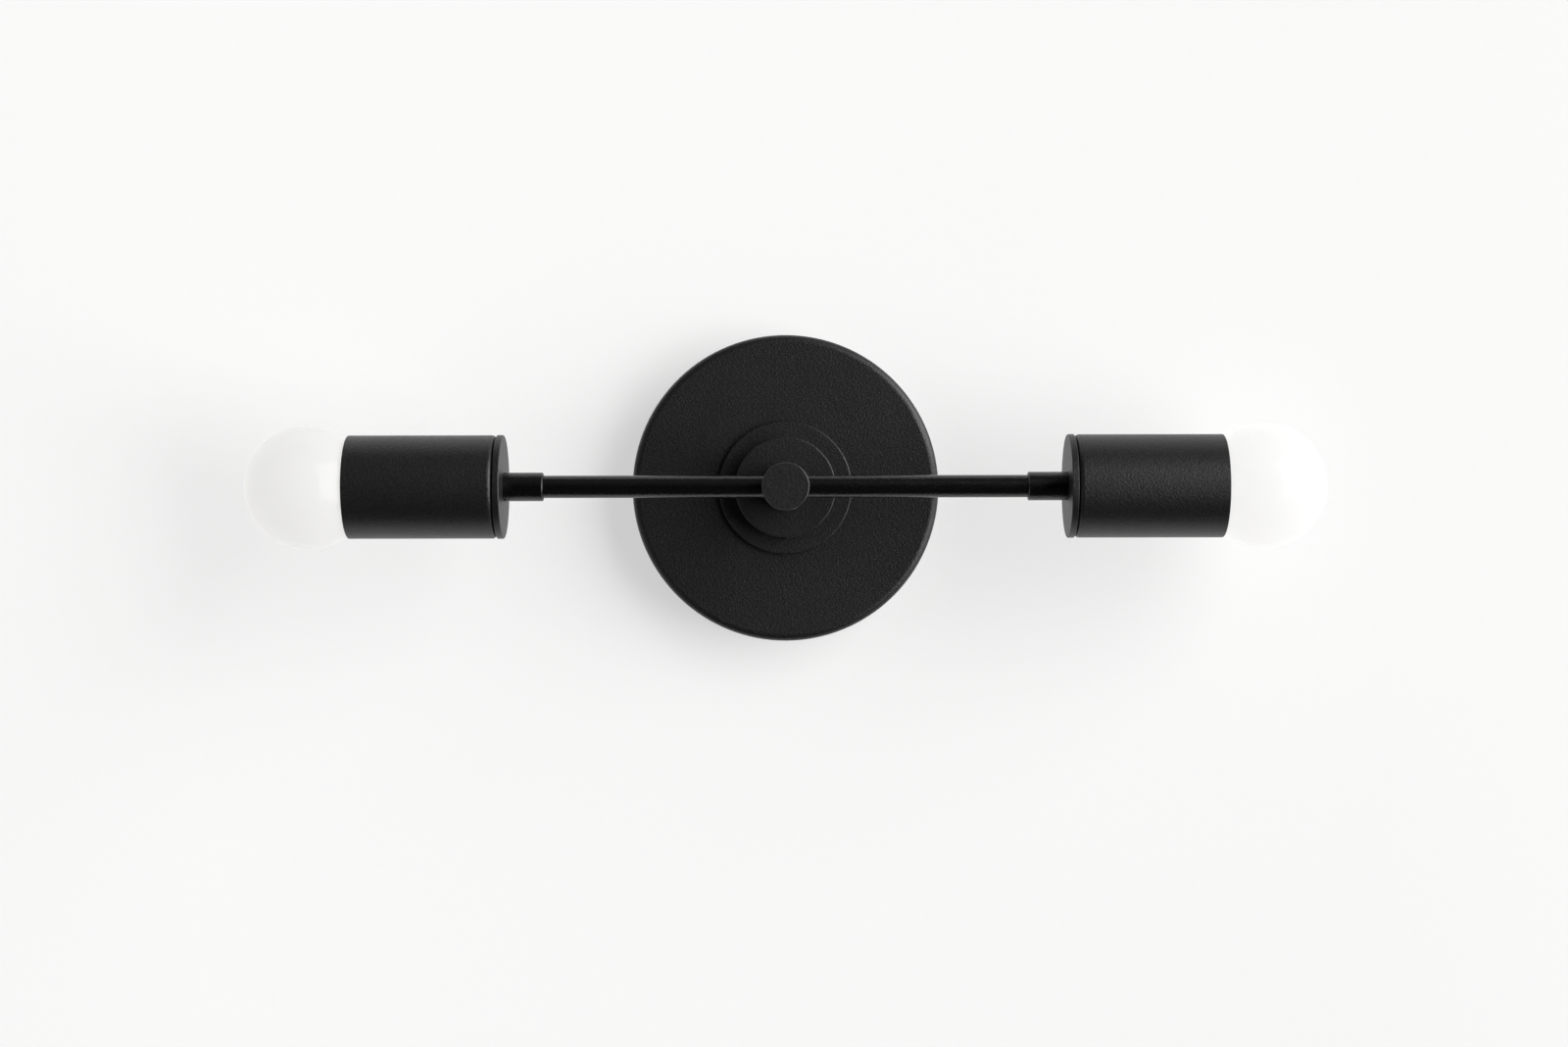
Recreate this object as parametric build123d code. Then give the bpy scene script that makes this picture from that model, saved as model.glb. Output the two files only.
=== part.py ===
from build123d import *
import os
from math import sqrt

# Two-light vanity light on a round slip canopy, in millimetres.
# Wall frame: x to the right, y up, z out from the wall, origin where the stem's axis meets the wall.
# Arm frame: z outward along an arm from the stem's axis, y up. Both arms use the same pieces.

# Fits, radial unless said otherwise
THREAD_CLEARANCE = 0.05
SLIDE_CLEARANCE = 0.08
HOLE_CLEARANCE = 0.3
CANOPY_HOLE_CLEARANCE = 1.0
CONTACT_GAP = 0.2

# Strap on the wall box
BOX_SCREW_SPACING = 88.9
BOX_SLOT_LENGTH = 9.0
BOX_SLOT_WIDTH = 4.6
STRAP_END_MARGIN = 2.5
STRAP_WIDTH = 16.0
STRAP_THICKNESS = 2.0
STRAP_RAISE = 8.0
STRAP_MIDDLE = 46.0
STRAP_NUT_THICKNESS = 4.0
STRAP_NUT_LAND = 2.1
STRAP_NIPPLE_WALL = 1.7
STRAP_NIPPLE_TAIL = 1.5
STRAP_NIPPLE_ENGAGEMENT = 9.0
GROUND_SCREW_OFFSET = 17.0
GROUND_SCREW_DIAMETER = 4.8
GROUND_HEAD_DIAMETER = 8.4
GROUND_HEAD_HEIGHT = 2.6
GROUND_SCREW_TAIL = 3.0

# Canopy, check ring and slip collar
COVER_MARGIN = 12.05
CANOPY_DEPTH = 22.0
CANOPY_WALL = 1.0
CANOPY_EDGE_RADIUS = 3.0
CHECK_RING_DIAMETER = 55.0
CHECK_RING_THICKNESS = 3.0
COLLAR_DIAMETER = 41.3
COLLAR_THICKNESS = 9.0
RING_EDGE_RADIUS = 0.5
SET_SCREW_DIAMETER = 4.0
SET_SCREW_KEY = 2.0
SET_SCREW_KEY_DEPTH = 2.5
SET_SCREW_PROUD = 0.5

# Stem and arms
STEM_DIAMETER = 19.05
STEM_WALL = 3.5
STEM_BEYOND_ARM = 8.0
STEM_CAP_THICKNESS = 3.0
STEM_CAP_SPIGOT = 3.0
STEM_CAP_CHAMFER = 0.45
ARM_STANDOFF = 59.0
SOCKET_REACH = 112.6
ARM_WALL = 1.74
ARM_SEAT_MARGIN = 0.1
ARM_ENGAGEMENT = 8.0
COUPLING_LENGTH = 15.8
COUPLING_WALL = 1.25
COUPLING_CHAMFER = 0.4

# Leads
LEAD_DIAMETER = 2.0
LEAD_PITCH = 2.9
LEAD_ROOM = 0.31
LEAD_BEND = 4.5
LEAD_INSET = 4.0

# Cup and the stack that clamps it
CUP_WASHER_THICKNESS = 2.6
CUP_WASHER_LIP = 0.1
CUP_WASHER_CHAMFER = 0.3
CUP_WALL = 1.0
CUP_CORNER_RADIUS = 2.2
CUP_LIP_RADIUS = 0.3
CUP_GAP = 1.75
CUP_NUT_THICKNESS = 3.0
CUP_NUT_LAND = 2.5
SOCKET_NIPPLE_WALL = 1.2
SOCKET_NIPPLE_GAP = 1.3
SOCKET_NIPPLE_TAIL = 1.2

# Lampholder
BRACKET_HEIGHT = 8.0
BRACKET_THICKNESS = 1.2
BRACKET_WIDTH = 10.0
BRACKET_PLATE = 16.0
BRACKET_EDGE = 1.0
BRACKET_SCREW_DIAMETER = 2.8
BRACKET_HEAD_DIAMETER = 5.0
BRACKET_HEAD_HEIGHT = 1.8
BRACKET_SCREW_DEPTH = 5.0
HOLDER_BASE = 10.0
HOLDER_DEPTH = 26.0
HOLDER_WALL = 4.0
HOLDER_STEP = 2.9
HOLDER_LIP_RADIUS = 1.0
SHELL_FIT = 0.2
SHELL_WALL = 0.4
SHELL_DEPTH = 22.5
SHELL_FLANGE_BORE = 16.0
BULB_THREAD_GAP = 0.4
CONTACT_HEIGHT = 3.0
CONTACT_LENGTH = 10.0
CONTACT_WIDTH = 6.0
CONTACT_THICKNESS = 0.6

# Bulb with a medium screw base
BULB_LENGTH = 75.7
BULB_BASE_DIAMETER = 25.8
BULB_BASE_WALL = 0.5
BULB_BASE_TAPER = 3.0
BULB_FOOT_STEP = 2.1
EYELET_DIAMETER = 9.5
EYELET_HEIGHT = 1.6
EYELET_RADIUS = 1.2
INSULATOR_HEIGHT = 3.4
INSULATOR_INSET = 1.5
INSULATOR_FIT = 0.1
GLOBE_DIAMETER = 50.0
GLOBE_CLEARANCE = 0.75
GLASS_WALL = 1.0
NECK_GAP = 1.2
NECK_FIT = 0.2
NECK_LENGTH = 6.0
NECK_FILLET = 1.0
LED_BOARD_THICKNESS = 1.2
LED_CHIP_SIZE = 2.4
LED_CHIP_HEIGHT = 0.8
LED_CHIPS = 8

# Sizes that follow from the ones above
arm_bore = LEAD_PITCH + LEAD_DIAMETER + 2 * LEAD_ROOM
arm_diameter = arm_bore + 2 * ARM_WALL
coupling_diameter = arm_diameter + 2 * COUPLING_WALL
socket_nipple_diameter = arm_bore + 2 * SOCKET_NIPPLE_WALL
strap_nipple_bore = LEAD_PITCH * sqrt(2) + LEAD_DIAMETER + 2 * LEAD_ROOM
strap_nipple_diameter = strap_nipple_bore + 2 * STRAP_NIPPLE_WALL
strap_length = BOX_SCREW_SPACING + BOX_SLOT_LENGTH + 2 * STRAP_END_MARGIN
canopy_diameter = strap_length + 2 * COVER_MARGIN
stem_bore = STEM_DIAMETER - 2 * STEM_WALL
shell_bore = BULB_BASE_DIAMETER + 2 * BULB_THREAD_GAP
shell_diameter = shell_bore + 2 * SHELL_WALL
holder_bore = shell_diameter + 2 * SHELL_FIT
holder_diameter = holder_bore + 2 * HOLDER_WALL
holder_base_diameter = holder_diameter - 2 * HOLDER_STEP
cup_bore = holder_diameter + 2 * CUP_GAP
cup_diameter = cup_bore + 2 * CUP_WALL
cup_washer_diameter = cup_diameter + 2 * CUP_WASHER_LIP

# Places out from the wall
strap_front = STRAP_RAISE + STRAP_THICKNESS
rear_nut_back = STRAP_RAISE - STRAP_NUT_THICKNESS
strap_nipple_back = rear_nut_back - STRAP_NIPPLE_TAIL
stem_back = strap_front + STRAP_NUT_THICKNESS
stem_bore_floor = stem_back + STRAP_NIPPLE_ENGAGEMENT
stem_front = ARM_STANDOFF + STEM_BEYOND_ARM
check_ring_front = CANOPY_DEPTH + CHECK_RING_THICKNESS
collar_front = check_ring_front + COLLAR_THICKNESS
set_screw_height = (check_ring_front + collar_front) / 2

# Places along an arm from the stem's axis
arm_seat = sqrt((STEM_DIAMETER / 2) ** 2 - (arm_diameter / 2 + THREAD_CLEARANCE) ** 2) - ARM_SEAT_MARGIN
spigot_end = stem_bore / 2 + CONTACT_GAP
coupling_start = SOCKET_REACH - COUPLING_LENGTH
arm_end = coupling_start + ARM_ENGAGEMENT
cup_back = SOCKET_REACH + CUP_WASHER_THICKNESS
cup_floor = cup_back + CUP_WALL
bracket_back = cup_floor + CUP_NUT_THICKNESS
holder_back = bracket_back + BRACKET_HEIGHT
holder_floor = holder_back + HOLDER_BASE
holder_mouth = holder_floor + HOLDER_DEPTH
eyelet_tip = holder_floor + CONTACT_HEIGHT + CONTACT_GAP
insulator_back = eyelet_tip + EYELET_HEIGHT
bulb_foot = insulator_back + INSULATOR_HEIGHT
globe_radius = GLOBE_DIAMETER / 2
globe_centre = eyelet_tip + BULB_LENGTH - globe_radius
base_radius = BULB_BASE_DIAMETER / 2
base_rim = globe_centre - sqrt(globe_radius**2 - base_radius**2) - NECK_GAP
lip_radius = cup_bore / 2 - GLOBE_CLEARANCE
cup_mouth = globe_centre - sqrt(max(globe_radius**2 - lip_radius**2, 0))

WALL_TO_ROW = Rot(90, 0, 0)
ARM_FRAMES = {
    "left": Pos(0, 0, ARM_STANDOFF) * Rot(0, -90, 0),
    "right": Pos(0, 0, ARM_STANDOFF) * Rot(0, 90, 0),
}
SIDES = {"left": -1, "right": 1}


def barrel(diameter, start, end):
    """Round bar along z from start to end."""
    bar = Cylinder(diameter / 2, end - start, align=(Align.CENTER, Align.CENTER, Align.MIN))
    return Pos(0, 0, start) * bar


def tube(diameter, bore, start, end):
    """Round bar with a through bore."""
    return barrel(diameter, start, end) - barrel(bore, start, end)


def turned(*corners):
    """Solid of revolution about z from (radius, height) corners."""
    outline = make_face(Polyline(*corners, close=True))
    return revolve(Plane.XZ * outline, Axis.Z)


def rim(shape, end):
    """Largest circle at the low (0) or high (-1) end of a turned piece."""
    circles = shape.edges().filter_by(GeomType.CIRCLE)
    return circles.group_by(Axis.Z)[end].sort_by(SortBy.RADIUS)[-1]


def hex_nut(across_flats, bore, start, thickness):
    """Hexagon nut along z with its corners turned off on both faces."""
    outline = RegularPolygon(across_flats / 2, 6, major_radius=False)
    blank = Pos(0, 0, start) * extrude(outline, thickness)
    corner = across_flats / sqrt(3)
    turn_off = corner - across_flats / 2
    dome = barrel(2 * corner, start, start + thickness)
    dome = chamfer([rim(dome, 0), rim(dome, -1)], turn_off * 0.6)
    return (blank & dome) - barrel(bore, start, start + thickness)


def pan_screw(diameter, head_diameter, head_height, seat, tip):
    """Pan-head screw along z: shank from seat to tip, slotted head on the far side of the seat."""
    way = 1 if tip > seat else -1
    head_top = seat - way * head_height
    head = barrel(head_diameter, min(seat, head_top), max(seat, head_top))
    head = fillet(rim(head, 0 if way > 0 else -1), head_height * 0.45)
    slot = Pos(0, 0, head_top) * Box(head_diameter, head_diameter * 0.16, head_height)
    return (head - slot) + barrel(diameter, min(seat, tip), max(seat, tip))


def make_strap():
    """Crossbar bent to a flat hat: feet on the wall, middle raised for the nut behind it."""
    flat = STRAP_MIDDLE / 2
    toe = flat + STRAP_RAISE
    end = strap_length / 2
    mitre = STRAP_THICKNESS * (sqrt(2) - 1)
    under = [(-end, 0), (-toe, 0), (-flat, STRAP_RAISE), (flat, STRAP_RAISE), (toe, 0), (end, 0)]
    over = [
        (end, STRAP_THICKNESS),
        (toe + mitre, STRAP_THICKNESS),
        (flat + mitre, strap_front),
        (-flat - mitre, strap_front),
        (-toe - mitre, STRAP_THICKNESS),
        (-end, STRAP_THICKNESS),
    ]
    side = Plane.XZ * make_face(Polyline(*under, *over, close=True))
    strap = extrude(side, STRAP_WIDTH / 2, both=True)
    plan = extrude(RectangleRounded(strap_length, STRAP_WIDTH, STRAP_WIDTH * 0.3), strap_front)
    strap &= plan
    for x in (-BOX_SCREW_SPACING / 2, BOX_SCREW_SPACING / 2):
        strap -= Pos(x, 0, 0) * extrude(SlotOverall(BOX_SLOT_LENGTH, BOX_SLOT_WIDTH), STRAP_THICKNESS)
    strap -= barrel(strap_nipple_diameter + 2 * THREAD_CLEARANCE, 0, strap_front)
    tapped = barrel(GROUND_SCREW_DIAMETER + 2 * THREAD_CLEARANCE, 0, strap_front)
    return strap - Pos(GROUND_SCREW_OFFSET, 0, 0) * tapped


def make_canopy():
    """Spun cover, open at the wall, with a loose hole round the stem."""
    cover = barrel(canopy_diameter, 0, CANOPY_DEPTH)
    cover = fillet(rim(cover, -1), CANOPY_EDGE_RADIUS)
    back = cover.faces().sort_by(Axis.Z)[0]
    cover = offset(cover, amount=-CANOPY_WALL, openings=back)
    return cover - barrel(STEM_DIAMETER + 2 * CANOPY_HOLE_CLEARANCE, 0, CANOPY_DEPTH)


def make_ring(diameter, bore, start, end):
    """Flat turned disc with its front and back edges broken."""
    ring = tube(diameter, bore, start, end)
    return fillet([rim(ring, 0), rim(ring, -1)], RING_EDGE_RADIUS)


def make_set_screw():
    """Grub screw up through the collar to the stem, key socket at its lower end."""
    tip = STEM_DIAMETER / 2 + CONTACT_GAP
    end = COLLAR_DIAMETER / 2 + SET_SCREW_PROUD
    screw = barrel(SET_SCREW_DIAMETER, tip, end)
    screw = chamfer([rim(screw, 0), rim(screw, -1)], SET_SCREW_DIAMETER * 0.08)
    key = extrude(RegularPolygon(SET_SCREW_KEY / 2, 6, major_radius=False), SET_SCREW_KEY_DEPTH)
    return screw - Pos(0, 0, end - SET_SCREW_KEY_DEPTH) * key


def make_stem():
    """Post with a tapped back end, a wiring bore and a flat seat for each arm."""
    stem = barrel(STEM_DIAMETER, stem_back, stem_front)
    stem -= barrel(stem_bore, stem_bore_floor, stem_front)
    stem -= barrel(strap_nipple_diameter + 2 * THREAD_CLEARANCE, stem_back, stem_bore_floor)
    for frame in ARM_FRAMES.values():
        stem -= frame * barrel(socket_nipple_diameter + 2 * THREAD_CLEARANCE, 0, arm_seat)
        stem -= frame * barrel(arm_diameter + 2 * THREAD_CLEARANCE, arm_seat, STEM_DIAMETER)
    return stem


def make_stem_cap():
    """Plug with a spigot in the stem's bore and a fine chamfer round its face."""
    cap = barrel(STEM_DIAMETER, stem_front, stem_front + STEM_CAP_THICKNESS)
    cap = chamfer(rim(cap, -1), STEM_CAP_CHAMFER)
    return cap + barrel(stem_bore - 2 * THREAD_CLEARANCE, stem_front - STEM_CAP_SPIGOT, stem_front)


def make_arm():
    """Tube with a reduced, threaded spigot at the stem."""
    main = tube(arm_diameter, arm_bore, arm_seat, arm_end)
    return main + tube(socket_nipple_diameter, arm_bore, spigot_end, arm_seat)


def make_coupling():
    """Sleeve over the arm's end, tapped for the nipple at the cup."""
    sleeve = barrel(coupling_diameter, coupling_start, SOCKET_REACH)
    sleeve = chamfer(rim(sleeve, 0), COUPLING_CHAMFER)
    sleeve -= barrel(arm_diameter + 2 * THREAD_CLEARANCE, coupling_start, arm_end)
    return sleeve - barrel(socket_nipple_diameter + 2 * THREAD_CLEARANCE, arm_end, SOCKET_REACH)


def make_cup_washer():
    """Flat disc between coupling and cup."""
    disc = tube(cup_washer_diameter, socket_nipple_diameter + 2 * HOLE_CLEARANCE, SOCKET_REACH, cup_back)
    return chamfer([rim(disc, 0), rim(disc, -1)], CUP_WASHER_CHAMFER)


def make_cup():
    """Drawn cup: rounded closed end at the washer, open end level with the globe's shoulder."""
    cup = barrel(cup_diameter, cup_back, cup_mouth)
    cup = fillet(rim(cup, 0), CUP_CORNER_RADIUS)
    mouth = cup.faces().sort_by(Axis.Z)[-1]
    cup = offset(cup, amount=-CUP_WALL, openings=mouth)
    lip = cup.edges().filter_by(GeomType.CIRCLE).group_by(Axis.Z)[-1]
    cup = fillet(lip, CUP_LIP_RADIUS)
    return cup - barrel(socket_nipple_diameter + 2 * HOLE_CLEARANCE, cup_back, cup_floor)


def bracket_screw_spots():
    """The two screw places on the bracket's feet."""
    foot_end = holder_base_diameter / 2 - BRACKET_EDGE
    middle = (BRACKET_PLATE / 2 + foot_end) / 2
    return [Pos(0, middle, 0), Pos(0, -middle, 0)]


def make_bracket():
    """Bent steel hat: plate on the nipple, two feet on the lampholder's back."""
    plate = BRACKET_PLATE / 2
    inner = plate - BRACKET_THICKNESS
    foot_end = holder_base_diameter / 2 - BRACKET_EDGE
    foot_back = holder_back - BRACKET_THICKNESS
    plate_front = bracket_back + BRACKET_THICKNESS
    outline = [
        (-foot_end, foot_back),
        (-foot_end, holder_back),
        (-inner, holder_back),
        (-inner, plate_front),
        (inner, plate_front),
        (inner, holder_back),
        (foot_end, holder_back),
        (foot_end, foot_back),
        (plate, foot_back),
        (plate, bracket_back),
        (-plate, bracket_back),
        (-plate, foot_back),
    ]
    side = Plane.YZ * make_face(Polyline(*outline, close=True))
    bracket = extrude(side, BRACKET_WIDTH / 2, both=True)
    bracket -= barrel(socket_nipple_diameter + 2 * THREAD_CLEARANCE, bracket_back, plate_front)
    hole = barrel(BRACKET_SCREW_DIAMETER + 2 * HOLE_CLEARANCE, foot_back, holder_back)
    for spot in bracket_screw_spots():
        bracket -= spot * hole
    return bracket


def make_bracket_screws():
    """Both screws that hold the lampholder on its bracket."""
    seat = holder_back - BRACKET_THICKNESS
    tip = holder_back + BRACKET_SCREW_DEPTH
    screw = pan_screw(BRACKET_SCREW_DIAMETER, BRACKET_HEAD_DIAMETER, BRACKET_HEAD_HEIGHT, seat, tip)
    upper, lower = bracket_screw_spots()
    return upper * screw + lower * screw


def make_lampholder():
    """Porcelain body: stepped base with blind holes, open sleeve round the screw shell."""
    base = holder_base_diameter / 2
    outer = holder_diameter / 2
    bore = holder_bore / 2
    body = turned(
        (0, holder_back),
        (base, holder_back),
        (base, holder_floor - HOLDER_STEP),
        (outer, holder_floor),
        (outer, holder_mouth),
        (bore, holder_mouth),
        (bore, holder_floor),
        (0, holder_floor),
    )
    body = fillet(rim(body, -1), HOLDER_LIP_RADIUS)
    screw_end = holder_back + BRACKET_SCREW_DEPTH + CONTACT_GAP
    for spot in bracket_screw_spots():
        body -= spot * barrel(BRACKET_SCREW_DIAMETER + 2 * THREAD_CLEARANCE, holder_back, screw_end)
    lead_end = holder_back + LEAD_INSET + CONTACT_GAP
    for y in (LEAD_PITCH / 2, -LEAD_PITCH / 2):
        body -= Pos(0, y, 0) * barrel(LEAD_DIAMETER + 2 * CONTACT_GAP, holder_back, lead_end)
    return body


def make_screw_shell():
    """Brass shell with an inward flange on the socket's floor."""
    sleeve = tube(shell_diameter, shell_bore, holder_floor, holder_floor + SHELL_DEPTH)
    return sleeve + tube(shell_diameter, SHELL_FLANGE_BORE, holder_floor, holder_floor + SHELL_WALL)


def make_centre_contact():
    """Brass strip folded back over itself under the bulb's eyelet."""
    half = CONTACT_LENGTH / 2
    leaf = CONTACT_HEIGHT - CONTACT_THICKNESS
    outline = [
        (-half, 0),
        (half, 0),
        (half, CONTACT_HEIGHT),
        (-half * 0.6, CONTACT_HEIGHT),
        (-half * 0.6, leaf),
        (half - CONTACT_THICKNESS, leaf),
        (half - CONTACT_THICKNESS, CONTACT_THICKNESS),
        (-half, CONTACT_THICKNESS),
    ]
    side = Plane.XZ * make_face(Polyline(*outline, close=True))
    return Pos(0, 0, holder_floor) * extrude(side, CONTACT_WIDTH / 2, both=True)


def make_lead(side, y):
    """Insulated wire: straight through the arm, one bend in the stem, out at the nipple's back end."""
    x = side * LEAD_PITCH / 2
    start = (side * (holder_back + LEAD_INSET), y, ARM_STANDOFF)
    path = FilletPolyline(start, (x, y, ARM_STANDOFF), (x, y, strap_nipple_back), radius=LEAD_BEND)
    section = Plane(path @ 0, z_dir=path % 0) * Circle(LEAD_DIAMETER / 2)
    return sweep(section, path=path)


def make_bulb_base():
    """Thin metal screw base, tapering in at its foot."""
    foot = base_radius - BULB_FOOT_STEP
    shoulder = bulb_foot + BULB_BASE_TAPER
    return turned(
        (foot, bulb_foot),
        (base_radius, shoulder),
        (base_radius, base_rim),
        (base_radius - BULB_BASE_WALL, base_rim),
        (base_radius - BULB_BASE_WALL, shoulder),
        (foot - BULB_BASE_WALL, bulb_foot),
    )


def make_insulator():
    """Black cone between the eyelet and the screw base."""
    plug = base_radius - BULB_FOOT_STEP - BULB_BASE_WALL - INSULATOR_FIT
    return turned(
        (0, insulator_back),
        (EYELET_DIAMETER / 2, insulator_back),
        (plug, bulb_foot),
        (plug, bulb_foot + INSULATOR_INSET),
        (0, bulb_foot + INSULATOR_INSET),
    )


def make_eyelet():
    """Solder contact at the bulb's foot."""
    eyelet = barrel(EYELET_DIAMETER, eyelet_tip, insulator_back)
    return fillet(rim(eyelet, 0), EYELET_RADIUS)


def globe_skin(inset):
    """Half outline of the globe, set in from its outside: neck, concave bend, ball up to the pole."""
    neck = base_radius - BULB_BASE_WALL - NECK_FIT
    bend = neck + NECK_FILLET
    reach = globe_radius + NECK_FILLET
    drop = sqrt(reach**2 - bend**2)
    share = (globe_radius - inset) / reach
    side = Line((neck - inset, base_rim - NECK_LENGTH), (neck - inset, globe_centre - drop))
    turn = TangentArc(side @ 1, (bend * share, globe_centre - drop * share), tangent=side % 1)
    ball = TangentArc(turn @ 1, (0, globe_centre + globe_radius - inset), tangent=turn % 1)
    return [side, turn, ball]


def make_globe():
    """Blown opal globe of one wall thickness, open at the neck that is cemented into the base."""
    outside = globe_skin(0)
    inside = globe_skin(GLASS_WALL)
    neck_end = Line(outside[0] @ 0, inside[0] @ 0)
    pole = Line(outside[2] @ 1, inside[2] @ 1)
    return revolve(Plane.XZ * make_face([*outside, *inside, neck_end, pole]), Axis.Z)


def make_led_carrier():
    """Aluminium plug in the neck with the driver's housing below it."""
    plug = base_radius - BULB_BASE_WALL - NECK_FIT - GLASS_WALL - NECK_FIT
    housing = plug * 0.8
    start = bulb_foot + INSULATOR_INSET + CONTACT_GAP
    step = base_rim - NECK_LENGTH
    end = base_rim + NECK_GAP
    return turned((0, start), (housing, start), (housing, step), (plug, step), (plug, end), (0, end))


def make_led_board():
    """Round board on the carrier with a ring of chips."""
    plug = base_radius - BULB_BASE_WALL - NECK_FIT - GLASS_WALL - NECK_FIT
    seat = base_rim + NECK_GAP
    top = seat + LED_BOARD_THICKNESS
    board = barrel(1.8 * plug, seat, top)
    chip = Box(LED_CHIP_SIZE, LED_CHIP_SIZE, LED_CHIP_HEIGHT, align=(Align.CENTER, Align.CENTER, Align.MIN))
    for spot in PolarLocations(0.62 * plug, LED_CHIPS):
        board += Pos(0, 0, top) * spot * chip
    return board


# Pieces on the stem's axis
nut = hex_nut(
    strap_nipple_diameter + 2 * STRAP_NUT_LAND,
    strap_nipple_diameter + 2 * THREAD_CLEARANCE,
    0,
    STRAP_NUT_THICKNESS,
)
ground_screw = pan_screw(
    GROUND_SCREW_DIAMETER,
    GROUND_HEAD_DIAMETER,
    GROUND_HEAD_HEIGHT,
    strap_front,
    STRAP_RAISE - GROUND_SCREW_TAIL,
)
collar = make_ring(COLLAR_DIAMETER, STEM_DIAMETER + 2 * SLIDE_CLEARANCE, check_ring_front, collar_front)
set_screw_frame = Pos(0, 0, set_screw_height) * Rot(90, 0, 0)
set_screw_hole = barrel(SET_SCREW_DIAMETER + 2 * THREAD_CLEARANCE, 0, COLLAR_DIAMETER)

nodes = {
    "mounting_strap": make_strap(),
    "strap_nipple": tube(strap_nipple_diameter, strap_nipple_bore, strap_nipple_back, stem_bore_floor),
    "strap_lock_nuts": Pos(0, 0, rear_nut_back) * nut + Pos(0, 0, strap_front) * nut,
    "ground_screw": Pos(GROUND_SCREW_OFFSET, 0, 0) * ground_screw,
    "stem": make_stem(),
    "stem_cap": make_stem_cap(),
    "canopy": make_canopy(),
    "check_ring": make_ring(
        CHECK_RING_DIAMETER, STEM_DIAMETER + 2 * HOLE_CLEARANCE, CANOPY_DEPTH, check_ring_front
    ),
    "slip_collar": collar - set_screw_frame * set_screw_hole,
    "collar_set_screw": set_screw_frame * make_set_screw(),
}

# Pieces of one arm, placed on both sides
arm_pieces = {
    "arm": make_arm(),
    "coupling": make_coupling(),
    "cup_washer": make_cup_washer(),
    "socket_cup": make_cup(),
    "socket_nipple": tube(
        socket_nipple_diameter,
        arm_bore,
        arm_end + SOCKET_NIPPLE_GAP,
        bracket_back + BRACKET_THICKNESS + SOCKET_NIPPLE_TAIL,
    ),
    "cup_nut": hex_nut(
        socket_nipple_diameter + 2 * CUP_NUT_LAND,
        socket_nipple_diameter + 2 * THREAD_CLEARANCE,
        cup_floor,
        CUP_NUT_THICKNESS,
    ),
    "holder_bracket": make_bracket(),
    "bracket_screws": make_bracket_screws(),
    "lampholder": make_lampholder(),
    "screw_shell": make_screw_shell(),
    "centre_contact": make_centre_contact(),
    "bulb_base": make_bulb_base(),
    "bulb_insulator": make_insulator(),
    "bulb_contact": make_eyelet(),
    "bulb_globe": make_globe(),
    "led_carrier": make_led_carrier(),
    "led_board": make_led_board(),
}
for side, frame in ARM_FRAMES.items():
    for name, piece in arm_pieces.items():
        nodes[f"{name}_{side}"] = frame * piece
    nodes[f"lead_hot_{side}"] = make_lead(SIDES[side], LEAD_PITCH / 2)
    nodes[f"lead_neutral_{side}"] = make_lead(SIDES[side], -LEAD_PITCH / 2)

os.makedirs("parts", exist_ok=True)
for name, shape in nodes.items():
    export_step(WALL_TO_ROW * shape, f"parts/{name}.step")
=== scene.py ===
# %% [markdown]
# # A two-light vanity light, dressed for its picture
# The solids of the fitting come from the CAD frame and already have the right sizes. This lesson
# gives them finishes, adds the screw threads that the solids leave plain, and lights the fitting on
# a white wall. Lengths are metres, x runs along the arms, y into the wall and z up.

# %% Load the frame
import math
import bpy
import numpy as np
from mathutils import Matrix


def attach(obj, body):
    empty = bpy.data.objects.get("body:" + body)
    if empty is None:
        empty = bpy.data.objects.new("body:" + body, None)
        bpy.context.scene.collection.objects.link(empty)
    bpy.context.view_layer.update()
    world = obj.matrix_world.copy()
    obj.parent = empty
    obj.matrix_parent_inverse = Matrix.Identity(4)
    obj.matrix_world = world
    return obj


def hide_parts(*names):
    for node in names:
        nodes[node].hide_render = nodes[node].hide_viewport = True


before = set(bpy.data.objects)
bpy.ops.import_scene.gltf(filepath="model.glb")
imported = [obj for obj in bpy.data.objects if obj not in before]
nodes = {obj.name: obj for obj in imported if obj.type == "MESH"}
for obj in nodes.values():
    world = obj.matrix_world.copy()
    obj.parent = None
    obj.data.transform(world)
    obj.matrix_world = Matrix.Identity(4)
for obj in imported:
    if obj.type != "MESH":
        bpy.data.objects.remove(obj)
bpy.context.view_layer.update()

MM = 0.001

# %% [markdown]
# ## Camera
# The photograph looks straight at the wall from a little over a metre, with the fitting slightly
# above the middle of the picture. The lens was worked out from how much larger the near arms look
# than the canopy behind them. A plain camera that looks along +y, without shift, gives that view.

# %% Camera
LENS_MM = 58.5
SENSOR_MM = 36.0
CAMERA_MM = (-0.65, -1078.0, -14.8)
CAMERA_ROLL = 0.1  # degrees

camera_data = bpy.data.cameras.new("camera")
camera_data.lens = LENS_MM
camera_data.sensor_width = SENSOR_MM
camera = bpy.data.objects.new("camera", camera_data)
camera.location = [c * MM for c in CAMERA_MM]
camera.rotation_euler = (math.radians(90.0), math.radians(CAMERA_ROLL), 0.0)
bpy.context.scene.collection.objects.link(camera)
bpy.context.scene.camera = camera
bpy.context.scene.view_settings.view_transform = "Standard"
print("camera at mm", [round(c / MM, 2) for c in camera.location])

# %% [markdown]
# ## Colours and nodes
# Every finish below is a small node tree. Colours are written as the hex values one would pick on
# screen, so they have to be turned into the linear values that the renderer adds up. One helper adds
# a node: keyword arguments set its options, and the dictionary sets its sockets, where another
# node's output makes a link and anything else becomes the socket's value.

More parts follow.
